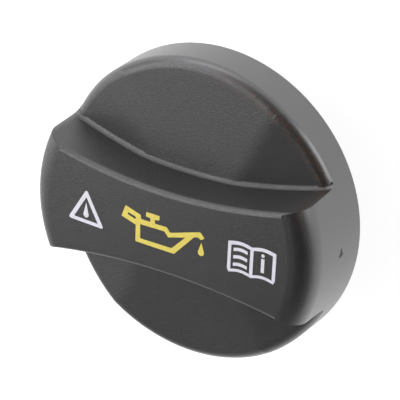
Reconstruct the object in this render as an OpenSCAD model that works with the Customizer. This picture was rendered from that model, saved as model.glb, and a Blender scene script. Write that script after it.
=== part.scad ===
// Oil filler cap with a full-width waisted grip bar: a moulded shell, a bayonet plug
// snapped into its underside, and a ring seal. Millimetres, +Z out of the engine along
// the cap's axis, the grip along X. The foot of the plug stands on Z = 0.

/* [Cap] */
// Outside diameter of the cap
cap_d = 75; // [70:0.5:90]
// Height of the skirt from its lower edge to the rim, halfway between the grip's ends
skirt_h = 10.7; // [9.5:0.1:16]
// How far the plug reaches below the skirt
plug_reach = 19; // [14:0.5:26]
// Rounding of the shoulder's rim
rim_r = 2.8; // [1:0.1:3.4]
// Slope of the shoulder's two middle faces down to the rim, in degrees
side_fall = 3.8; // [1:0.1:5]
// Slope of the shoulder's four outer faces down towards the grip's ends, in degrees
end_fall = 8.5; // [4:0.1:10]
// Half the length of the ridge, under the grip, from which the shoulder falls
ridge_half = 6.2; // [2:0.1:12]
// Radius of the dome of the grip's top
crown_r = 540; // [300:10:2000]
// Wall of the skirt and of the shoulder
wall = 2.4; // [1.8:0.1:3]
// Draft of the outside of the skirt, in degrees
skirt_draft = 0.9; // [0:0.1:1.5]

/* [Grip] */
// Height of the grip above the shoulder's ridge, on the axis
grip_h = 10.6; // [8:0.1:18]
// Width of the grip's top at its waist
waist_top_w = 20.6; // [17:0.1:26]
// Width of the grip's foot at its waist
waist_foot_w = 21.6; // [17:0.1:27]
// Radius in plan of the hollow sides at the top edge
side_top_r = 142; // [110:1:400]
// Radius in plan of the hollow sides at the foot
side_foot_r = 132; // [90:1:400]
// Rounding of the top's long edges
edge_r = 1.3; // [0.6:0.1:2]
// Hollow rounding where the grip's sides meet the shoulder
foot_r = 1.2; // [0.5:0.1:1.6]
// Rounding where the grip's top turns down into its two ends
end_r = 5.6; // [2:0.1:7]
// Wall of the grip round its hollow
grip_wall = 2.5; // [1.8:0.1:3]
// Thickness of the webs across the grip's hollow
web_t = 1.5; // [1:0.1:2]
// Spacing of the webs across the grip's hollow
web_pitch = 8.4; // [6:0.2:14]

/* [Underside] */
// Number of stiffening ribs from the collar to the skirt
rib_count = 16; // [8:4:24]
// Thickness of a stiffening rib
rib_t = 1.2; // [0.8:0.1:2]
// Depth of a stiffening rib below the shoulder's inside
rib_h = 3.2; // [1.5:0.1:4]
// Wall of the collar that the plug's flange seats on
collar_t = 2; // [1.2:0.1:3]
// Width of a snap hook round the flange
hook_w = 9; // [6:0.5:12]
// Thickness of a snap hook
hook_t = 1.8; // [1.2:0.1:2.4]
// How far a hook's nose reaches under the flange
hook_grip = 0.8; // [0.4:0.1:1.2]

/* [Plug] */
// Outside diameter of the plug's tube
plug_d = 40.4; // [34:0.2:44]
// Wall of the plug's tube
plug_wall = 2.5; // [1.8:0.1:3.5]
// Width of the flange outside the tube
flange_w = 7.3; // [6.8:0.1:8.5]
// Thickness of the flange and of the plug's closed end
flange_t = 2.2; // [1.8:0.1:3]
// Reach of a bayonet lug out of the tube
lug_reach = 3.4; // [2:0.1:4.5]
// Height of a lug where its ramp is lowest
lug_h = 3.2; // [2:0.1:5]
// Angle that one lug spans
lug_angle = 54; // [30:2:70]
// Rise of the ramp along a lug
lug_rise = 1.4; // [0:0.1:2]
// Height of the lugs above the plug's foot
lug_z = 2.6; // [1:0.1:6]
// Width of the key that stops the plug from turning in the shell
key_w = 6; // [4:0.5:10]

/* [Seal] */
// Thickness of the ring seal
seal_t = 2.8; // [2:0.1:4]
// Width of the ring seal
seal_w = 5.6; // [4:0.1:5.8]

/* [Fits] */
// Radial gap between the plug's tube and the seal
seal_gap = 0.1; // [0.05:0.05:0.3]
// Gap between the hooks or keys and the flange
snap_gap = 0.15; // [0.05:0.05:0.4]

/* [Hidden] */
$fn = 120;

// A part that joins another is sunk this far into it, so that they fuse.
bite = 0.6;
// Cuts and tools run this far past what they cut.
past = 2;
// Bevel at the closed end of the plug's bore.
corner_cut = 1;
// The webs stop this far above the plug's flange.
web_lift = 1;
// The ribs and keys reach out to, or start, this far outside the flange.
rib_clear = 0.5;
// Depth of the flange's notches for the keys.
key_depth = 2.2;
// Upright part of a hook's nose, and its whole height.
nose_flat = 0.4;
nose_h = 1.6;
// Bevels of the lugs and of the plug's mouth, and the length of that mouth's taper.
lug_cut = 0.8;
lead_in = 1.6;
// Angle and extra height of the stop at the end of a lug.
stop_angle = 5;
stop_h = 2;
// Height of the bead that keeps the seal on the plug, and its gap below the seal.
bead = 0.4;
bead_gap = 0.1;
// Radius of the two round lips on the seal's face.
lip_r = 0.5;
// Angle at which a rolled edge meets the face beside it, so that they cross cleanly.
meet = 8;

cap_r = cap_d / 2;
skirt_z = plug_reach;
rim_z = skirt_z + skirt_h;
shoulder_z = rim_z + cap_r * tan(side_fall);
top_z = shoulder_z + grip_h;
crown_end_z = top_z - crown_drop(cap_r);

plug_r = plug_d / 2;
flange_r = plug_r + flange_w;
// The flange is as high as the lowest part of the shoulder's inside above it allows.
flange_top_z = ceiling_at(flange_r, 0);
flange_z = flange_top_z - flange_t;
seal_z = flange_z - seal_t;
inner_r = cap_r - wall;
hollow_half = waist_top_w / 2 - grip_wall;
side_mid_r = (side_top_r + side_foot_r) / 2;
hollow_end_r = max(1, end_r - grip_wall);
collar_r = flange_r - hook_grip - snap_gap;
collar_in_r = collar_r - collar_t;
web_z = flange_top_z + web_lift;

// How far a dome falls at a distance r from the axis.
function crown_drop(r) = crown_r - sqrt(crown_r * crown_r - r * r);
// How far a circular arc of radius arc_r has moved sideways at x.
function arc_rise(x, arc_r) = arc_r - sqrt(arc_r * arc_r - x * x);
// Points on an arc about [x, y] from angle a to angle b, in n steps.
function arc(x, y, r, a, b, n) =
    [for (i = [0:n]) [x + r * cos(a + (b - a) * i / n), y + r * sin(a + (b - a) * i / n)]];
// Points along a dome with its top at z, from radius r in to the axis, in n steps.
function dome(z, r, n) =
    [for (i = [0:n]) let (at = r * (1 - i / n)) [at, z - crown_drop(at)]];
// Height of the shoulder's sloping faces at [x, y], as if they ran on to the grip and rim.
function shoulder_at(x, y) =
    shoulder_z - max(abs(y) * tan(side_fall), (abs(x) - ridge_half) * tan(end_fall));
// Height of the shoulder's underside at [x, y].
function ceiling_at(x, y) = shoulder_at(x, y) - wall;
// Outside radius of the skirt at height z.
function side_r(z) = cap_r - (z - skirt_z) * tan(skirt_draft);

// The whole outside turned in one piece: skirt, rounded ends of the grip, domed top.
module turned_outside() {
    end_z = crown_end_z - end_r + crown_drop(end_r);
    rotate_extrude()
        polygon(concat(
            [[0, skirt_z], [cap_r, skirt_z]],
            arc(side_r(end_z) - end_r, end_z, end_r, 0, 90 - meet / 2, 12),
            dome(top_z, side_r(end_z) - end_r, 10)
        ));
}

// A block under one face of the shoulder that falls towards +X, axis_z high on the axis.
// It is turned about the face's normal, so its rim is rolled; its side flares, and the
// skirt's wall crosses it where the roll stands at the angle cross.
module rolled_face(fall, axis_z) {
    flare = fall + meet / 2;
    cross = fall + meet;
    deep = 2 * (axis_z - skirt_z);
    wall_r = side_r(rim_z - rim_r);
    roll_r = wall_r - rim_r * cos(cross);
    start = [roll_r + rim_r * cos(flare), rim_r * sin(flare) - rim_r];
    shift = wall_r * (1 / cos(fall) - 1) + rim_r * (1 - sin(cross)) * tan(fall);
    translate([0, 0, axis_z])
        rotate([0, fall, 0])
            translate([shift, 0, 0])
                rotate_extrude()
                    polygon(concat(
                        [[0, -deep], [start[0] + (deep + start[1]) * tan(flare), -deep]],
                        arc(roll_r, -rim_r, rim_r, flare, 90, 6),
                        [[0, 0]]
                    ));
}

// Everything below the shoulder's four faces; it runs past the outside.
module below_shoulder() {
    hip_z = shoulder_z + ridge_half * tan(end_fall);
    intersection() {
        rotate([0, 0, 90]) rolled_face(side_fall, shoulder_z);
        rotate([0, 0, 270]) rolled_face(side_fall, shoulder_z);
        rolled_face(end_fall, hip_z);
        rotate([0, 0, 180]) rolled_face(end_fall, hip_z);
    }
}

// How far the rolled rim has fallen below the shoulder's faces at [x, y], near the grip.
function rim_drop(x, y) =
    let (
        reach = rim_r * cos(end_fall + meet),
        over = max(0, min(reach, norm([x, y]) - side_r(rim_z) + reach))
    )
    rim_r - sqrt(rim_r * rim_r - over * over);

// The hollow rounding at the grip's foot at x; its toe follows the rolled rim down.
function foot_arc(x, y, z, lean, n) =
    [for (i = [0:n])
        let (p = arc(y, z, foot_r, 270 - meet, 180 + lean, n)[i])
        [p[0], p[1] - (1 - i / n) * rim_drop(x, p[0])]];

// Half of the grip's section at x, from the buried foot up the side and over the top.
function half_section(x) =
    let (
        foot_w = waist_foot_w / 2 + arc_rise(x, side_foot_r),
        top_w = waist_top_w / 2 + arc_rise(x, side_top_r),
        foot_z = shoulder_at(x, foot_w + foot_r),
        lip_z = top_z - crown_drop(min(cap_r, norm([x, top_w - edge_r]))),
        lean = atan((foot_w - top_w) / (lip_z - foot_z)),
        hollow_y = foot_w - foot_r * tan(lean) + foot_r / cos(lean),
        roll_y = top_w + edge_r * tan(lean) - edge_r / cos(lean),
        toe_y = hollow_y + past
    )
    concat(
        [[toe_y, skirt_z + past],
         [toe_y, foot_z - past * tan(meet) - rim_drop(x, toe_y)]],
        foot_arc(x, hollow_y, foot_z + foot_r, lean, 5),
        arc(roll_y, lip_z - edge_r, edge_r, lean, 90 - meet, 5),
        [[roll_y - past, lip_z + past * tan(meet)],
         [roll_y - past, top_z + past]]
    );

// The grip as a loft: a waisted bar with leaning hollow sides and rolled long edges.
module grip_bar() {
    steps = 36;
    reach = cap_r + past;
    halves = [for (i = [0:steps]) half_section(reach * (2 * i / steps - 1))];
    rings = [for (h = halves) concat(h, [for (k = [len(h) - 1:-1:0]) [-h[k][0], h[k][1]]])];
    n = len(rings[0]);
    polyhedron(
        points = [for (i = [0:steps]) for (p = rings[i]) [reach * (2 * i / steps - 1), p[0], p[1]]],
        faces = concat(
            [[for (k = [0:n - 1]) k]],
            [for (i = [0:steps - 1]) for (k = [0:n - 1])
                [i * n + k, (i + 1) * n + k, i * n + (k + 1) % n]],
            [for (i = [0:steps - 1]) for (k = [0:n - 1])
                [i * n + (k + 1) % n, (i + 1) * n + k, (i + 1) * n + (k + 1) % n]],
            [[for (k = [n - 1:-1:0]) steps * n + k]]
        )
    );
}

// The outside of the shell: what the turned form and the grip leave standing.
module shell_outside() {
    intersection() {
        turned_outside();
        union() {
            below_shoulder();
            grip_bar();
        }
    }
}

// A block whose top is the shoulder's faces, drop lower: one gable along X for the middle
// faces, crossed by one along Y for the outer faces.
module hipped_block(drop) {
    reach = cap_r + 2 * past;
    low_z = skirt_z - past;
    hip_z = shoulder_z + ridge_half * tan(end_fall) - drop;
    intersection() {
        rotate([90, 0, 90])
            linear_extrude(height = 2 * reach, center = true)
                polygon([[-reach, low_z], [reach, low_z],
                    [reach, shoulder_z - drop - reach * tan(side_fall)], [0, shoulder_z - drop],
                    [-reach, shoulder_z - drop - reach * tan(side_fall)]]);
        rotate([90, 0, 0])
            linear_extrude(height = 2 * reach, center = true)
                polygon([[-reach, low_z], [reach, low_z],
                    [reach, hip_z - reach * tan(end_fall)], [0, hip_z],
                    [-reach, hip_z - reach * tan(end_fall)]]);
    }
}

// The room inside the skirt, up to the underside of the shoulder.
module skirt_hollow() {
    intersection() {
        hipped_block(wall);
        translate([0, 0, skirt_z - 2 * past]) cylinder(r = inner_r, h = shoulder_z);
    }
}

// The hollow up inside the grip, its sides bowed in like the outside's.
module grip_hollow() {
    bottom_z = ceiling_at(inner_r, 0) - bite;
    lid_z = top_z - grip_wall;
    end_x = side_r(crown_end_z) - grip_wall;
    intersection() {
        rotate_extrude()
            polygon(concat(
                [[0, bottom_z], [end_x, bottom_z]],
                arc(end_x - hollow_end_r, lid_z - crown_drop(end_x) - hollow_end_r, hollow_end_r, 0, 80, 4),
                dome(lid_z, end_x - 2 * hollow_end_r, 5)
            ));
        translate([0, 0, bottom_z])
            linear_extrude(height = top_z - bottom_z)
                difference() {
                    square([cap_d, 2 * (hollow_half + cap_r)], center = true);
                    for (side = [-1, 1])
                        translate([0, side * (hollow_half + side_mid_r)]) circle(r = side_mid_r);
                }
    }
}

// Webs across the grip's hollow, inside the collar.
module grip_webs() {
    webs = floor((collar_in_r - web_t) / web_pitch);
    for (i = [-webs:webs]) {
        x = i * web_pitch;
        half = hollow_half + arc_rise(x, side_mid_r) + bite;
        top = top_z - grip_wall - crown_drop(norm([x, half])) + bite;
        translate([x - web_t / 2, -half, web_z])
            cube([web_t, 2 * half, top - web_z]);
    }
}

// The ring that the plug's flange seats on; inside the grip it rises to the grip's lid.
module collar() {
    ring_top = ceiling_at(0, collar_r) + bite;
    translate([0, 0, flange_top_z])
        difference() {
            cylinder(r = collar_r, h = ring_top - flange_top_z);
            translate([0, 0, -past]) cylinder(r = collar_in_r, h = ring_top + past);
        }
    for (side = [-1, 1])
        intersection() {
            difference() {
                cylinder(r = collar_r, h = top_z);
                translate([0, 0, -past]) cylinder(r = collar_in_r, h = top_z + 2 * past);
            }
            half = hollow_half + arc_rise(collar_r, side_mid_r) + bite;
            translate([side > 0 ? 0 : -cap_r, -half, web_z])
                cube([cap_r, 2 * half, top_z - grip_wall - crown_drop(norm([collar_r, half])) + bite - web_z]);
        }
}

// Short ribs under the shoulder, outside the flange, clear of the grip's hollow.
module shoulder_ribs() {
    from_r = flange_r + rib_clear;
    for (i = [0:rib_count - 1]) {
        a = (i + 0.5) * 360 / rib_count;
        low_z = ceiling_at(inner_r * cos(a), inner_r * sin(a)) - rib_h;
        high_z = ceiling_at(from_r * cos(a), from_r * sin(a)) + bite / 2;
        if (abs(sin(a)) * cap_r > hollow_half + arc_rise(cap_r, side_mid_r) + rib_t)
            rotate([0, 0, a])
                translate([from_r, -rib_t / 2, low_z])
                    cube([inner_r + bite - from_r, rib_t, high_z - low_z]);
    }
}

// One hook, its nose under the flange and sloped where the flange pushes past it.
module snap_hook() {
    back = flange_r + snap_gap;
    nose_z = flange_z - snap_gap;
    half_angle = asin(hook_w / 2 / back);
    root_z = ceiling_at(back * cos(45), back * sin(45)) + bite;
    rotate([0, 0, -half_angle])
        rotate_extrude(angle = 2 * half_angle)
            polygon([
                [back, root_z],
                [back, nose_z],
                [flange_r - hook_grip, nose_z],
                [flange_r - hook_grip, nose_z - nose_flat],
                [back + hook_t / 3, nose_z - nose_h],
                [back + hook_t, nose_z - nose_h],
                [back + hook_t, root_z]
            ]);
}

// A key that drops into a notch of the flange and carries the grip's torque to the lugs.
module flange_key(width, from_r, low, high) {
    translate([from_r, -width / 2, low])
        cube([flange_r + rib_clear - from_r, width, high - low]);
}

module cap_shell() {
    color([0.16, 0.16, 0.17]) {
        difference() {
            shell_outside();
            skirt_hollow();
            grip_hollow();
        }
        grip_webs();
        collar();
        shoulder_ribs();
        for (a = [45:90:315])
            rotate([0, 0, a]) snap_hook();
        for (a = [90, 270])
            rotate([0, 0, a])
                flange_key(key_w - 2 * snap_gap, flange_r - key_depth + snap_gap,
                    flange_z + snap_gap, ceiling_at(0, flange_r) + bite);
    }
}

// One bayonet lug about the X axis: a ring sector with a sloping top and a stop at its end.
module bayonet_lug() {
    reach_r = plug_r + lug_reach;
    low_z = lug_z + lug_h;
    slope = atan(lug_rise / (reach_r * lug_angle * PI / 180));
    difference() {
        rotate([0, 0, -lug_angle / 2])
            rotate_extrude(angle = lug_angle)
                polygon([
                    [plug_r - bite, lug_z],
                    [reach_r - lug_cut, lug_z],
                    [reach_r, lug_z + lug_cut],
                    [reach_r, low_z + lug_rise],
                    [plug_r - bite, low_z + lug_rise]
                ]);
        translate([0, 0, low_z + lug_rise / 2])
            rotate([slope, 0, 0])
                translate([0, -cap_r, 0]) cube([cap_r, cap_d, lug_h + lug_rise]);
    }
    // The stop is set in from the lug's end and its outer face, so that the two fuse cleanly.
    rotate([0, 0, lug_angle / 2 - 1.5 * stop_angle])
        rotate_extrude(angle = stop_angle)
            translate([plug_r - bite / 2, low_z - lug_h / 2])
                square([lug_reach + bite / 2 - lug_cut, lug_h / 2 + lug_rise + stop_h]);
}

module lock_plug() {
    bore_r = plug_r - plug_wall;
    color([0.2, 0.2, 0.2]) {
        difference() {
            rotate_extrude()
                polygon([
                    [bore_r, 0],
                    [plug_r - lug_cut, 0],
                    [plug_r, lead_in],
                    [plug_r, seal_z - bead_gap - 2 * bead],
                    [plug_r + bead, seal_z - bead_gap - bead],
                    [plug_r, seal_z - bead_gap],
                    [plug_r, flange_z],
                    [flange_r, flange_z],
                    [flange_r, flange_top_z - bead],
                    [flange_r - bead, flange_top_z],
                    [0, flange_top_z],
                    [0, flange_z],
                    [bore_r - corner_cut, flange_z],
                    [bore_r, flange_z - corner_cut]
                ]);
            for (a = [90, 270])
                rotate([0, 0, a])
                    translate([flange_r - key_depth, -key_w / 2, flange_z - past])
                        cube([key_depth + past, key_w, flange_t + 2 * past]);
        }
        for (a = [90, 270])
            rotate([0, 0, a]) bayonet_lug();
    }
}

module seal_ring() {
    in_r = plug_r + seal_gap;
    out_r = in_r + seal_w;
    color([0.45, 0.16, 0.1])
        rotate_extrude() {
            translate([in_r, seal_z + lip_r]) square([seal_w, seal_t - lip_r]);
            for (r = [in_r + seal_w / 4, out_r - seal_w / 4])
                translate([r, seal_z + lip_r]) circle(r = lip_r, $fn = 40);
        }
}

cap_shell();
lock_plug();
seal_ring();
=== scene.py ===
# %% [markdown]
# # An oil filler cap in black moulded plastic
#
# The cap is one moulded shell with a broad waisted grip across it, a bayonet plug snapped
# into its underside, and a ring seal. The solids come from the CAD model, which fixes their
# sizes, so this script leaves their shape alone. It gives them their plastic and rubber,
# prints the symbols on the grip, and sets the camera and the light.

# %% Load the frame
import bpy
import bmesh
from math import asin, cos, hypot, pi, radians, sin, sqrt, tan
from mathutils import Matrix, Vector


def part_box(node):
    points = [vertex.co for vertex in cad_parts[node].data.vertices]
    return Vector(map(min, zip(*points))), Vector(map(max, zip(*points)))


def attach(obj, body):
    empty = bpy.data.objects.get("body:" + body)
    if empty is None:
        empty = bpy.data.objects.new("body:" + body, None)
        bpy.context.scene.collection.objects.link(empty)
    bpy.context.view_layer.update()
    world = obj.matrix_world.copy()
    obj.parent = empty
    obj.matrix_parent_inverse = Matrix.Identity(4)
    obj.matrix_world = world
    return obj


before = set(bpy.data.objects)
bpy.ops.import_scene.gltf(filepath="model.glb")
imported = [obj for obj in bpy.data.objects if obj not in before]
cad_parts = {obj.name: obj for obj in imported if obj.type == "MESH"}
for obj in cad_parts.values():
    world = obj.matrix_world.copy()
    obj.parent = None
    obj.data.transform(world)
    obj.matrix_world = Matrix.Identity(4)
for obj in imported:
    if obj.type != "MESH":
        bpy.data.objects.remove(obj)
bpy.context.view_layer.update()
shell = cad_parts["cap_shell"]
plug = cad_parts["lock_plug"]
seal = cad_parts["seal_ring"]
print("nodes:", sorted(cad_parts))

# %% [markdown]
# ## Measures
#
# Blender works in metres and the cap is drawn in millimetres, so one factor turns the one
# into the other. The grip's top is part of a very large sphere. Its height at any place is
# all that a print needs to lie on it.

# %% Millimetres and the crowned top
MM = 0.001
CROWN_R = 540 * MM
shell_low, shell_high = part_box("cap_shell")
TOP_Z = shell_high.z


def crown_z(x, y):
    """Height of the grip's crowned top above the point x, y."""
    return TOP_Z - CROWN_R + sqrt(CROWN_R ** 2 - x * x - y * y)


print("shell from", round(shell_low.z / MM, 2), "to", round(TOP_Z / MM, 2), "mm")

# %% [markdown]
# ## Shading of the moulded surfaces
#
# The roundings of the real moulding reach Blender as narrow flat bands. Finer faces or moved
# points would change the CAD shape, so only the normals are set: across a small bend the
# faces share one normal, which makes the rounding look round. A large flat face passes its
# own normal on to its neighbours, so it stays flat and the creases between two such faces
# stay crisp. Where the crowned top meets the rounding of the grip's ends, the CAD shape has
# a step of a quarter of a millimetre. Its faces borrow the shading of their neighbours, so
# that it doesn't show.

# %% Faces of one plane, and faces of the small step
STEP_BELOW = 1.4 * MM
STEP_FROM = 31.6 * MM
STEP_TO = 32.1 * MM
STEP_UPRIGHT = 0.85


def plane_of(face):
    """A key that all the faces in one plane share: its direction and its distance."""
    return (*face.normal.to_tuple(3), round(face.normal.dot(face.center) / MM, 1))


def on_step(face):
    """Whether a face belongs to the small step round the grip's ends."""
    high = face.center.z > TOP_Z - STEP_BELOW
    return high and STEP_FROM < face.center.xy.length < STEP_TO and face.normal.z < STEP_UPRIGHT


print("the step lies", round(STEP_FROM / MM, 1), "to", round(STEP_TO / MM, 1), "mm out")

# %% Normals
BEND = 22
FLAT_AREA = 25 * MM ** 2


def ease_normals(piece):
    """Blends the shading over bends of less than BEND degrees."""
    mesh = piece.data
    mesh.shade_smooth()
    least = cos(radians(BEND))
    normals = [face.normal.copy() for face in mesh.polygons]
    areas = [face.area for face in mesh.polygons]
    planes = [plane_of(face) for face in mesh.polygons]
    steps = {face.index for face in mesh.polygons if on_step(face)}
    spread = {}
    for plane, area in zip(planes, areas):
        spread[plane] = spread.get(plane, 0) + area
    places = [vert.co.to_tuple(6) for vert in mesh.vertices]
    around = {}
    for face in mesh.polygons:
        for vert in face.vertices:
            around.setdefault(places[vert], []).append(face.index)

    def shown(face, vert):
        """The normal that a face shows at one of its corners."""
        own = normals[face.index]
        if spread[planes[face.index]] > FLAT_AREA:
            return own
        meeting = around[places[vert]]
        near = [k for k in meeting if normals[k].dot(own) > least]
        if face.index in steps:
            near = [k for k in meeting if k not in steps] or near
        widest = max(near, key=lambda k: spread[planes[k]])
        if spread[planes[widest]] > FLAT_AREA:
            return normals[widest]
        return sum((normals[k] * areas[k] for k in near), Vector()).normalized()

    corners = [shown(face, vert) for face in mesh.polygons for vert in face.vertices]
    mesh.normals_split_custom_set(corners)
    flats = sum(area > FLAT_AREA for area in spread.values())
    print(piece.name, len(planes), "faces,", flats, "flats,", len(steps), "in the step")


ease_normals(shell)
ease_normals(plug)

# %% [markdown]
# ## Camera
#
# A long lens from far away gives the flat look of a product photograph. The camera stands
# beyond the right-hand back of the cap and looks half way down on it. It is also turned
# about its own axis, which puts the grip level in the picture.

# %% Camera
LENS = 216.3
SENSOR_W = 36
CAMERA_AT = Vector((0.24701, 0.24926, 0.45543))
CAMERA_RIGHT = Vector((0.85438, 0.04377, -0.51781))
CAMERA_UP = Vector((-0.26540, 0.89345, -0.36238))

lens = bpy.data.cameras.new("photo_camera")
lens.lens = LENS
lens.sensor_width = SENSOR_W
camera = bpy.data.objects.new("photo_camera", lens)
bpy.context.scene.collection.objects.link(camera)
axes = Matrix((CAMERA_RIGHT, CAMERA_UP, CAMERA_RIGHT.cross(CAMERA_UP))).transposed()
camera.matrix_world = Matrix.Translation(CAMERA_AT) @ axes.to_4x4()
bpy.context.scene.camera = camera
print("camera", round(CAMERA_AT.length, 3), "m away, lens", LENS, "mm")

# %% [markdown]
# ## Light
#
# Black plastic has almost no colour of its own. What shows its form is what it reflects.
# Two big panels stand low, on the right and at the back: they light the wall, and run as
# thin lines along the grip's lips and foot. The other five hang higher, most of them on the
# left, and give the flat faces their different greys. The lamps are a little cool, as
# daylight lamps are.

# %% Light panels
PANELS = {
    "low_right": (24, 4, 4.5),
    "low_back": (110, 6, 2.4),
    "back_left": (125, 28, 2.0),
    "high_left": (150, 52, 5.0),
    "left": (180, 28, 2.6),
    "high_front": (210, 52, 1.25),
    "front": (270, 28, 0.8),
}
PANEL_SIZE = 0.6
PANEL_AWAY = 1.0
PANEL_COLOUR = (1.0, 0.995, 1.03)

for name, (azimuth, elevation, watts) in PANELS.items():
    lamp = bpy.data.lights.new(name, "AREA")
    lamp.shape = "SQUARE"
    lamp.size = PANEL_SIZE
    lamp.energy = watts
    lamp.color = PANEL_COLOUR
    panel = bpy.data.objects.new(name, lamp)
    flat = cos(radians(elevation))
    towards = Vector((flat * cos(radians(azimuth)), flat * sin(radians(azimuth)),
                      sin(radians(elevation))))
    panel.location = towards * PANEL_AWAY
    panel.rotation_euler = towards.to_track_quat("Z", "Y").to_euler()
    bpy.context.scene.collection.objects.link(panel)
print(len(PANELS), "light panels,", PANEL_AWAY, "m away")

# %% [markdown]
# ## Writing materials as sums
#
# A material is a net of nodes. To keep it readable, one small class wraps the output of a
# node. Plus, minus, times and divided by add the Math nodes that do the same, so a mask can
# be written as a formula.

# %% A wrapper for sockets


class Flow:
    """One output of a node. Arithmetic on it adds Math nodes."""

    def __init__(self, paint, socket):
        self.paint = paint
        self.socket = socket

    def math(self, operation, *others):
        """A Math node with this output in its first socket."""
        values = dict(enumerate((self, *others)))
        return self.paint.node("ShaderNodeMath", {"operation": operation}, values)

    def __neg__(self):
        return self * -1

    def __add__(self, other):
        return self.math("ADD", other)

    def __sub__(self, other):
        return self.math("SUBTRACT", other)

    def __rsub__(self, other):
        return self.paint.node("ShaderNodeMath", {"operation": "SUBTRACT"}, {0: other, 1: self})

    def __mul__(self, other):
        return self.math("MULTIPLY", other)

    def __truediv__(self, other):
        return self.math("DIVIDE", other)

    __radd__ = __add__
    __rmul__ = __mul__

    def ramp(self, low, high):
        """0 below low, 1 above high, and a soft step between them."""
        kind = {"interpolation_type": "SMOOTHSTEP"}
        return self.paint.node("ShaderNodeMapRange", kind, {0: self, 1: low, 2: high, 3: 0, 4: 1})

    def band(self, rise, fall):
        """1 between two soft steps, the first up and the second down."""
        return self.ramp(*rise) * (1 - self.ramp(*fall))


print("formulas are written with", Flow.__name__)

# %% [markdown]
# Every other node comes from one method, which takes the node's type, its settings, and
# what goes into its sockets. The methods after it are the few nodes that this cap needs
# again and again: a place on the object, noise, a mix of two colours, a bump, and the
# shader at the end.

# %% A maker of nodes


class Paint:
    """A material or a world, whose nodes are made by calls and formulas."""

    def __init__(self, name, library=bpy.data.materials):
        self.material = library.new(name)
        self.material.use_nodes = True
        self.tree = self.material.node_tree
        self.tree.nodes.clear()

    def node(self, kind, settings=None, sockets=None, output=0):
        """A node of any kind: its settings first, then its sockets' values or links."""
        made = self.tree.nodes.new(kind)
        for key, value in (settings or {}).items():
            setattr(made, key, value)
        for key, value in (sockets or {}).items():
            if isinstance(value, Flow):
                self.tree.links.new(value.socket, made.inputs[key])
            else:
                made.inputs[key].default_value = value
        return Flow(self, made.outputs[output])

    def end(self, shader, kind="ShaderNodeOutputMaterial"):
        """Joins a shader to the output of the material or the world."""
        self.tree.links.new(shader.socket, self.tree.nodes.new(kind).inputs["Surface"])

    def place(self):
        """Position on the object in millimetres."""
        at = self.node("ShaderNodeTexCoord", output="Object")
        return self.node("ShaderNodeVectorMath", {"operation": "SCALE"}, {0: at, "Scale": 1 / MM},
                         output="Vector")

    def split(self, vector):
        """The three parts of a vector."""
        parts = self.node("ShaderNodeSeparateXYZ", {}, {0: vector}).socket.node
        return [Flow(self, parts.outputs[k]) for k in range(3)]

    def noise(self, vector, size, detail=2.0, roughness=0.5):
        """Noise from 0 to 1 whose patches are about size millimetres across."""
        return self.node("ShaderNodeTexNoise", {},
                         {"Vector": vector, "Scale": 1 / size, "Detail": detail,
                          "Roughness": roughness}, output="Fac")

    def mix(self, mask, first, second):
        """The first colour where the mask is 0, the second where it is 1."""
        kind = {"data_type": "RGBA"}
        return self.node("ShaderNodeMix", kind, {0: mask, 6: first, 7: second}, output=2)

    def bump(self, height, strength, under=None):
        """A Bump node: height in millimetres of the surface, and how strongly it shows."""
        sockets = {"Height": height * MM, "Strength": strength, "Distance": 1.0}
        if under:
            sockets["Normal"] = under
        return self.node("ShaderNodeBump", {}, sockets)

    def finish(self, **sockets):
        """Ends the material in one Principled shader; _ in a socket's name is a space."""
        named = {key.replace("_", " "): value for key, value in sockets.items()}
        self.end(self.node("ShaderNodeBsdfPrincipled", {}, named))
        return self.material


print("materials are made with", Paint.__name__)

# %% [markdown]
# ## Floor
#
# The ground of the picture is plain white. A floor lit to full white by the lamps would
# need more light than the cap can take. So for rays from the camera or from a reflection
# the floor is mostly its own glow, with a small share of the light that falls on it. It
# comes out white and still keeps a trace of the shadow. All other rays meet a pale matt
# floor.

# %% Floor
FLOOR_SIZE = 4.0
FLOOR_PALE = (0.8, 0.8, 0.8, 1)
FLOOR_SHARE = (0.3, 0.3, 0.3, 1)
FLOOR_GLOW = 0.9


def seen(paint):
    """1 for a ray that the eye follows straight, through glass or off a gloss."""
    path = paint.node("ShaderNodeLightPath").socket.node
    rays = [Flow(paint, path.outputs[key])
            for key in ("Is Camera Ray", "Is Glossy Ray", "Is Transmission Ray")]
    return (rays[0] + rays[1] + rays[2]).math("MINIMUM", 1.0)


paint = Paint("pale_floor")
matt = paint.node("ShaderNodeBsdfDiffuse", {}, {"Color": FLOOR_PALE})
share = paint.node("ShaderNodeBsdfDiffuse", {}, {"Color": FLOOR_SHARE})
glow = paint.node("ShaderNodeEmission", {}, {"Strength": FLOOR_GLOW})
white = paint.node("ShaderNodeAddShader", {}, {0: share, 1: glow})
paint.end(paint.node("ShaderNodeMixShader", {}, {0: seen(paint), 1: matt, 2: white}))

sheet = bpy.data.meshes.new("floor")
half = FLOOR_SIZE / 2
sheet.from_pydata([(-half, -half, 0), (half, -half, 0), (half, half, 0), (-half, half, 0)],
                  [], [(0, 1, 2, 3)])
sheet.materials.append(paint.material)
floor = bpy.data.objects.new("floor", sheet)
bpy.context.scene.collection.objects.link(floor)
print("floor", FLOOR_SIZE, "m wide")

# %% [markdown]
# ## Background
#
# The world adds a weak, even light from all sides. For the rays that the eye follows it is
# a white backdrop that ends some way up, with the dark room above it. That dark room is
# what makes black plastic look black: a sky that is white all over would lie on every face
# as a grey veil.

# %% World
WORLD_LIGHT = 0.25
ROOM_LIGHT = 0.03
BACKDROP_TOP = (0.06, 0.26)

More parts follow.
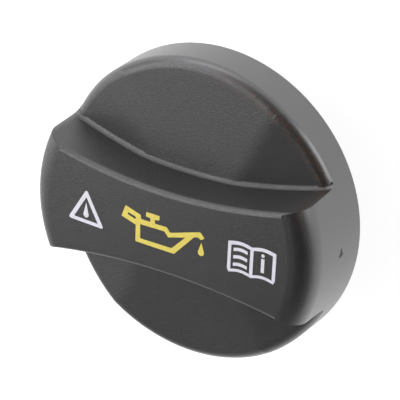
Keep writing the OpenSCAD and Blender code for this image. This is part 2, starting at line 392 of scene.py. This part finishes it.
sky = Paint("white_room", bpy.data.worlds)
up = sky.split(sky.node("ShaderNodeTexCoord", output="Generated"))[2]
backdrop = 1 - (1 - ROOM_LIGHT) * up.ramp(*BACKDROP_TOP)
looked_at = seen(sky)
strength = looked_at * backdrop + (1 - looked_at) * WORLD_LIGHT
sky.end(sky.node("ShaderNodeBackground", {}, {"Color": (1, 1, 1, 1), "Strength": strength}),
        "ShaderNodeOutputWorld")
bpy.context.scene.world = sky.material
bpy.context.scene.view_settings.view_transform = "Standard"
print("world light", WORLD_LIGHT, "and room light", ROOM_LIGHT)

# %% [markdown]
# ## Soft creases of the shoulder
#
# On the real cap the creases between the shoulder's four faces are soft. The CAD shape has
# them sharp, and rounding its edges here would move its points. A bump does it without
# that: from the slopes of the faces it works out how near a place is to a crease, and
# fills the angle there with a curve.

# %% Soft creases
SIDE_SLOPE = tan(radians(3.8))
END_SLOPE = tan(radians(8.5))
RIDGE_HALF = 6.2
RIDGE_Z = 32.19
BLEND = 0.33
SHOULDER_FROM = (-2.0, -0.6)
SHOULDER_TO = (0.05, 0.3)


def length(x, y):
    """How long the vector x, y is."""
    return (x * x + y * y).math("SQRT")


def soft_creases(x, y, z):
    """Height in millimetres that rounds the creases between the shoulder's faces."""
    side = y.math("ABSOLUTE") * SIDE_SLOPE
    end = (x.math("ABSOLUTE") - RIDGE_HALF) * END_SLOPE
    above = z - RIDGE_Z + side.math("MAXIMUM", end)
    there = above.band(SHOULDER_FROM, SHOULDER_TO)
    near = (BLEND - (side - end).math("ABSOLUTE")).math("MAXIMUM", 0.0)
    return -(near * near * there) / (4 * BLEND)


print("creases blended over", round(2 * BLEND / hypot(END_SLOPE, SIDE_SLOPE), 1), "mm")

# %% [markdown]
# ## Marks of use and a painted warm shade
#
# The cap is used, and two marks show it: a small pit and a nick in the wall. The brown tone on
# the rolled rim is painted warm shade. Painted masks would need a picture. Formulas on
# the place in millimetres put each mark where it is, at any resolution.

# %% Masks for the marks
SPOT_EDGE = (0.6, 1.1)
SPOT_WALL = (30, 36)
BROWN_FROM = (0.25, 0.5)
BROWN_TO = (1.2, 1.75)
RIM_FROM = (33.6, 35.0)
RIM_TO = (36.4, 37.0)
RIM_ABOVE = (24, 26)


def spot(x, y, z, middle, reach):
    """1 within the reach of a point on the skirt's right-hand wall, and 0 outside it."""
    away = length((y - middle[0]) / reach[0], (z - middle[1]) / reach[1])
    return (1 - away.ramp(*SPOT_EDGE)) * x.ramp(*SPOT_WALL)


def warm_shade_on_rim(x, y, z):
    """1 on the rolled rim of the back right quarter, which gets a painted warm shade."""
    quarter = y.math("ARCTAN2", x).band(BROWN_FROM, BROWN_TO)
    return quarter * length(x, y).band(RIM_FROM, RIM_TO) * z.ramp(*RIM_ABOVE)


print("the brown trace runs from", BROWN_FROM[0], "to", BROWN_TO[1], "radians")

# %% [markdown]
# ## Black plastic of the shell
#
# The shell is glass-filled nylon, coloured through. The mould was spark-eroded, which
# leaves a fine even grain that breaks up the gloss. One noise makes the grain's bump, a
# finer one makes its sparkle, and a wide one the faint flow marks. The wall of the skirt
# was polished, to let the mould draw off, so it has less grain and a thin extra gloss, and
# a paler colour painted on it as sheen. A pit is dull and deep, and its near-black colour is
# painted shade, so its mask goes into colour, gloss and relief. The nick has no dullness of
# its own but the same painted shade, and the brown on the rim is painted warm shade in
# colour alone.

# %% Grain, wall and marks
GRAIN = 0.26
SPARKLE = 0.17
FLOW_MARKS = 14
BROWN_PATCH = 1.1
PATCH_EDGE = (0.42, 0.6)
POLISHED_OUT = (35.8, 37.2)
PIT_WIDE = ((0.2, 27.6), (1.25, 0.5))
PIT_HIGH = ((-0.3, 27.7), (0.6, 1.0))
NICK = ((-1.15, 19.75), (0.14, 0.32))

paint = Paint("black_moulded_plastic")
at = paint.place()
x, y, z = paint.split(at)
grain = paint.noise(at, GRAIN, roughness=0.7)
sparkle = paint.noise(at, SPARKLE, detail=1.0)
flow_marks = paint.noise(at, FLOW_MARKS, detail=3.0)
patches = paint.noise(at, BROWN_PATCH, detail=4.0, roughness=0.7)
polished = length(x, y).ramp(*POLISHED_OUT)
pit = (spot(x, y, z, *PIT_WIDE) + spot(x, y, z, *PIT_HIGH)).math("MINIMUM", 1.0)
nick = spot(x, y, z, *NICK)
# painted warm shade: a brown tone on the rolled rim of the back right quarter
brown = warm_shade_on_rim(x, y, z) * patches.ramp(*PATCH_EDGE)
print("grain", GRAIN, "mm, sparkle", SPARKLE, "mm, flow marks", FLOW_MARKS, "mm")

# %% Colour, gloss and relief of the shell
BLACK = (0.0160, 0.0145, 0.0136, 1)
SOFT_BLACK = (0.0185, 0.0166, 0.0155, 1)
# painted sheen: a paler colour that lifts the polished wall of the skirt
WALL_SHEEN = (0.044, 0.0435, 0.045, 1)
WALL_SHEEN_SHARE = 0.6
# brown colour of the painted warm shade on the rolled rim
WARM_SHADE_BROWN = (0.048, 0.026, 0.017, 1)
# painted shade: near black for the inside of the pit and the nick
HOLLOW_SHADE_BLACK = (0.004, 0.0035, 0.003, 1)
HALF_TONES = (0.3, 0.7)
GRAIN_HIGH = 0.10
GRAIN_LOST = 0.6
PIT_DEEP = 0.35
NICK_DEEP = 0.12
WALL_GLOSS = 0.4

tone = paint.mix(flow_marks.ramp(*HALF_TONES), BLACK, SOFT_BLACK)
# painted sheen on the polished wall
tone = paint.mix(polished * WALL_SHEEN_SHARE, tone, WALL_SHEEN)
# painted warm shade on the rolled rim
tone = paint.mix(brown, tone, WARM_SHADE_BROWN)
# painted shade: the pit and the nick are darkened to near black
tone = paint.mix(pit + nick, tone, HOLLOW_SHADE_BLACK)
relief = GRAIN_HIGH * grain * (1 - GRAIN_LOST * polished) - PIT_DEEP * pit - NICK_DEEP * nick
shell.material_slots[0].material = paint.finish(
    Base_Color=tone,
    Roughness=0.26 + 0.04 * flow_marks + 0.14 * sparkle + 0.3 * pit,
    Specular_IOR_Level=0.95,
    Coat_Weight=WALL_GLOSS * polished * (1 - pit),
    Coat_Roughness=0.3,
    Coat_IOR=2.0,
    Normal=paint.bump(relief, 1.0, under=paint.bump(soft_creases(x, y, z), 1.0)),
)
print("shell finish:", paint.material.name)

# %% [markdown]
# ## Nylon of the plug
#
# The plug is a plain nylon moulding without the shell's grain. Its surface is smooth from
# the steel of the mould, with slight clouds where the melt cooled at different speeds. One
# wide noise for the clouds and one fine, low bump are enough for that.

# %% Plug
PLUG_GRAIN = 0.3
PLUG_CLOUD = 9
PLUG_DARK = (0.045, 0.045, 0.047, 1)
PLUG_LIGHT = (0.056, 0.055, 0.055, 1)

paint = Paint("dark_nylon")
at = paint.place()
grain = paint.noise(at, PLUG_GRAIN)
cloud = paint.noise(at, PLUG_CLOUD)
plug.material_slots[0].material = paint.finish(
    Base_Color=paint.mix(cloud.ramp(*HALF_TONES), PLUG_DARK, PLUG_LIGHT),
    Roughness=0.42 + 0.1 * cloud,
    Normal=paint.bump(0.004 * grain, 0.5),
)
print("plug finish:", paint.material.name)

# %% [markdown]
# ## Rubber of the seal
#
# Seals of this kind are often brick red. The rubber is matt, a little powdery and never
# quite even in colour. It gets two noises, as the plug does, and a rougher surface.

# %% Seal
SEAL_GRAIN = 0.2
SEAL_CLOUD = 5
SEAL_DARK = (0.26, 0.06, 0.03, 1)
SEAL_LIGHT = (0.31, 0.078, 0.04, 1)

paint = Paint("brick_red_rubber")
at = paint.place()
grain = paint.noise(at, SEAL_GRAIN)
cloud = paint.noise(at, SEAL_CLOUD)
seal.material_slots[0].material = paint.finish(
    Base_Color=paint.mix(cloud.ramp(*HALF_TONES), SEAL_DARK, SEAL_LIGHT),
    Roughness=0.6 + 0.1 * cloud,
    Normal=paint.bump(0.006 * grain, 0.6),
)
print("seal finish:", paint.material.name)

# %% [markdown]
# ## Prints
#
# The symbols are pad printed: a film of ink a few hundredths of a millimetre thick. They
# could be masks in the shell's material, but a film of its own keeps a sharp edge from any
# distance and stays a separate piece. Each symbol is drawn flat as closed outlines, filled,
# cut into small cells, and bent onto the crowned top.

# %% Outlines to filled plates
FILM = 0.04 * MM
SUNK = 0.06 * MM


def rounded(outline, radius, steps=4):
    """An outline in millimetres with its corners rounded off."""
    points = []
    count = len(outline)
    for k, corner in enumerate(outline):
        corner = Vector(corner)
        before = Vector(outline[k - 1]) - corner
        after = Vector(outline[(k + 1) % count]) - corner
        cut = min(radius, 0.45 * before.length, 0.45 * after.length)
        first = corner + before.normalized() * cut
        last = corner + after.normalized() * cut
        for i in range(steps + 1):
            t = i / steps
            points.append(first * (1 - t) ** 2 + corner * 2 * t * (1 - t) + last * t ** 2)
    return [tuple(p) for p in points]


def filled(name, outlines):
    """A flat plate as thick as the ink, filled between outlines in millimetres."""
    drawing = bpy.data.curves.new(name, "CURVE")
    drawing.dimensions = "2D"
    drawing.fill_mode = "BOTH"
    drawing.extrude = (FILM + SUNK) / 2
    for outline in outlines:
        line = drawing.splines.new("POLY")
        line.points.add(len(outline) - 1)
        for point, (x, y) in zip(line.points, outline):
            point.co = (x * MM, y * MM, 0, 1)
        line.use_cyclic_u = True
    holder = bpy.data.objects.new(name + "_drawing", drawing)
    plate = bpy.data.meshes.new_from_object(holder)
    bpy.data.objects.remove(holder)
    return plate


print("ink stands", round(FILM / MM, 2), "mm proud")

# %% Plates onto the crowned top
CELL = 1.5 * MM
CELLS_OUT = 24
WELD = 1e-7


def bent(plate):
    """Cuts a plate into small cells and lays it on the crowned top."""
    work = bmesh.new()
    work.from_mesh(plate)
    bmesh.ops.remove_doubles(work, verts=work.verts, dist=WELD)
    for axis in (0, 1):
        for k in range(-CELLS_OUT, CELLS_OUT + 1):
            where = [0, 0, 0]
            normal = [0, 0, 0]
            where[axis] = k * CELL
            normal[axis] = 1
            bmesh.ops.bisect_plane(work, geom=work.verts[:] + work.edges[:] + work.faces[:],
                                   plane_co=where, plane_no=normal)
    for vert in work.verts:
        lift = FILM if vert.co.z > 0 else -SUNK
        vert.co.z = crown_z(vert.co.x, vert.co.y) + lift
    work.to_mesh(plate)
    work.free()
    return plate


def printed(name, outlines, ink):
    """A film of ink on the grip's top; outlines inside others are holes or islands."""
    film = bent(filled(name, outlines))
    film.name = name
    film.materials.clear()
    film.materials.append(ink)
    piece = bpy.data.objects.new(name, film)
    bpy.context.scene.collection.objects.link(piece)
    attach(piece, "root")
    print(name, len(film.polygons), "faces")


print("cells of", round(CELL / MM, 1), "mm")

# %% [markdown]
# ## Ink
#
# The two inks are matt and cover well. A pad never lays its ink down quite evenly, so each
# has two close tones, mixed by a soft noise, and a fine noise in its gloss and relief. One
# function makes both, because they differ only in colour.

# %% White and yellow ink


def ink(name, light, dark):
    """A finish for a print: nearly even, with the slight mottle of a pad print."""
    paint = Paint(name)
    at = paint.place()
    mottle = paint.noise(at, 0.9, detail=3.0)
    fine = paint.noise(at, 0.15)
    return paint.finish(
        Base_Color=paint.mix(mottle.ramp(0.3, 0.75), light, dark),
        Roughness=0.45 + 0.15 * fine,
        Normal=paint.bump(0.003 * fine, 0.5),
    )


WHITE_INK = ink("white_ink", (0.78, 0.78, 0.83, 1), (0.70, 0.70, 0.76, 1))
YELLOW_INK = ink("yellow_ink", (0.80, 0.67, 0.12, 1), (0.74, 0.60, 0.10, 1))
print("inks:", WHITE_INK.name, "and", YELLOW_INK.name)

# %% [markdown]
# ## Triangle with a drop
#
# A triangle in outline stands at one end of the grip, with a plain drop inside it. Two
# outlines, one inside the other, make the line, because the fill leaves the inner one open.
# The drop inside that is filled again.

# %% Triangle with a drop
TRIANGLE_X = -21.1
OUTER = [(TRIANGLE_X, 4.81), (TRIANGLE_X + 5.04, -3.91), (TRIANGLE_X - 5.01, -3.78)]
INNER = [(TRIANGLE_X, 2.84), (TRIANGLE_X + 3.37, -3.03), (TRIANGLE_X - 3.36, -2.93)]


def drop(x, low, high, half, turns=20):
    """A drop that hangs from its tip: round below, drawn out above."""
    middle = low + half
    lean = asin(half / (high - middle))
    first = pi - lean
    sweep = pi + 2 * lean
    angles = [first + sweep * k / turns for k in range(turns + 1)]
    return [(x + half * cos(a), middle + half * sin(a)) for a in angles] + [(x, high)]


printed("white_triangle", [rounded(OUTER, 0.9), rounded(INNER, 0.3),
                           drop(TRIANGLE_X, -2.37, 1.41, 0.73)], WHITE_INK)

# %% [markdown]
# ## Oil can
#
# The symbol in the middle says what goes in here: an oil can with a handle, a spout and a
# drop that falls from it. Its corners are given one by one, as a draughtsman would set
# them out, and rounded a little, as a pad print always is.

# %% Oil can with a falling drop
CAN_OUTSIDE = [
    (-10.3, 4.14), (-6.14, 2.9), (-6.02, 1.9), (-3.5, 1.9), (-3.53, 2.88), (-4.76, 2.98),
    (-4.67, 4.1), (-1.07, 4.1), (-1.23, 2.93), (-2.32, 2.84), (-2.28, 1.84), (0.82, 1.92),
    (1.8, 0.79), (9.52, 3.25), (10.73, 2.03), (9.87, 1.36), (9.01, 1.84), (8.03, 1.54),
    (3.04, -4.17), (-7.32, -4.1), (-7.36, 0.07), (-11.3, 1.23),
]
CAN_INSIDE = [
    (-6.2, 0.6), (0.28, 0.72), (1.34, -0.48), (5.82, 0.82), (2.32, -2.96), (-6.08, -3.02),
]
HANDLE_INSIDE = [(-9.5, 2.63), (-7.33, 2.08), (-7.6, 1.38), (-9.73, 2.1)]

printed("yellow_oil_can", [rounded(CAN_OUTSIDE, 0.2), rounded(CAN_INSIDE, 0.15),
                           rounded(HANDLE_INSIDE, 0.15), drop(9.97, -2.55, 0.8, 0.78)],
        YELLOW_INK)

# %% [markdown]
# ## Open book
#
# The book at the other end sends the reader to the manual. Its pages are the same on both
# sides of the spine, so they come from a few numbers and not from a list of corners. The
# pages' upper and lower edges are flat arches, and so are the lines on the left page.

# %% Outline and pages of the book
BOOK_LEFT = 17.15
BOOK_SPINE = 22.74
BOOK_RIGHT = 28.34
BOOK_TOP = 3.0
BOOK_FOOT = -3.89
PAGE_ARCH = 0.54
INNER_ARCH = PAGE_ARCH * 0.8
HALF_LINE = 0.4


def arched(x0, x1, y, rise, turns=10):
    """Points from x0 to x1 on a flat arch above y."""
    return [(x0 + (x1 - x0) * k / turns, y + rise * sin(pi * k / turns))
            for k in range(turns + 1)]


def strip(x0, x1, foot, top, rise):
    """A closed outline between two flat arches."""
    return arched(x0, x1, top, rise) + arched(x0, x1, foot, rise)[::-1]


book_top = BOOK_TOP + HALF_LINE * 0.8
book_outside = (
    arched(BOOK_LEFT - HALF_LINE, BOOK_SPINE, book_top, PAGE_ARCH)
    + arched(BOOK_SPINE, BOOK_RIGHT + HALF_LINE, book_top, PAGE_ARCH)[1:]
    + [(BOOK_RIGHT + HALF_LINE, BOOK_FOOT + HALF_LINE), (BOOK_RIGHT, BOOK_FOOT - HALF_LINE)]
    + arched(BOOK_SPINE, BOOK_RIGHT, BOOK_FOOT - HALF_LINE, PAGE_ARCH)[-2::-1]
    + arched(BOOK_LEFT, BOOK_SPINE, BOOK_FOOT - HALF_LINE, PAGE_ARCH)[-2::-1]
    + [(BOOK_LEFT - HALF_LINE, BOOK_FOOT + HALF_LINE)]
)
pages = [strip(x0 + HALF_LINE, x1 - HALF_LINE, BOOK_FOOT + HALF_LINE, BOOK_TOP - HALF_LINE,
               INNER_ARCH)
         for x0, x1 in ((BOOK_LEFT, BOOK_SPINE), (BOOK_SPINE, BOOK_RIGHT))]
print("book", round(BOOK_RIGHT - BOOK_LEFT, 2), "mm wide,", len(pages), "pages")

# %% Signs on the pages
LINE_FROM = 18.17
LINE_TO = 21.68
LINE_ARCH = 0.33
LINE_HEIGHTS = (1.56, -0.3, -2.17)
STEM = [(25.11, 1.25), (25.91, 1.25), (25.95, -2.2), (25.15, -2.2)]
DOT_AT = (25.5, 2.02)
DOT_R = 0.42
DOT_TURNS = 16

lines = [strip(LINE_FROM, LINE_TO, y - HALF_LINE, y + HALF_LINE, LINE_ARCH)
         for y in LINE_HEIGHTS]
turn = 2 * pi / DOT_TURNS
dot = [(DOT_AT[0] + DOT_R * cos(k * turn), DOT_AT[1] + DOT_R * sin(k * turn))
       for k in range(DOT_TURNS)]
printed("white_book", [book_outside, *pages, *lines, STEM, dot], WHITE_INK)
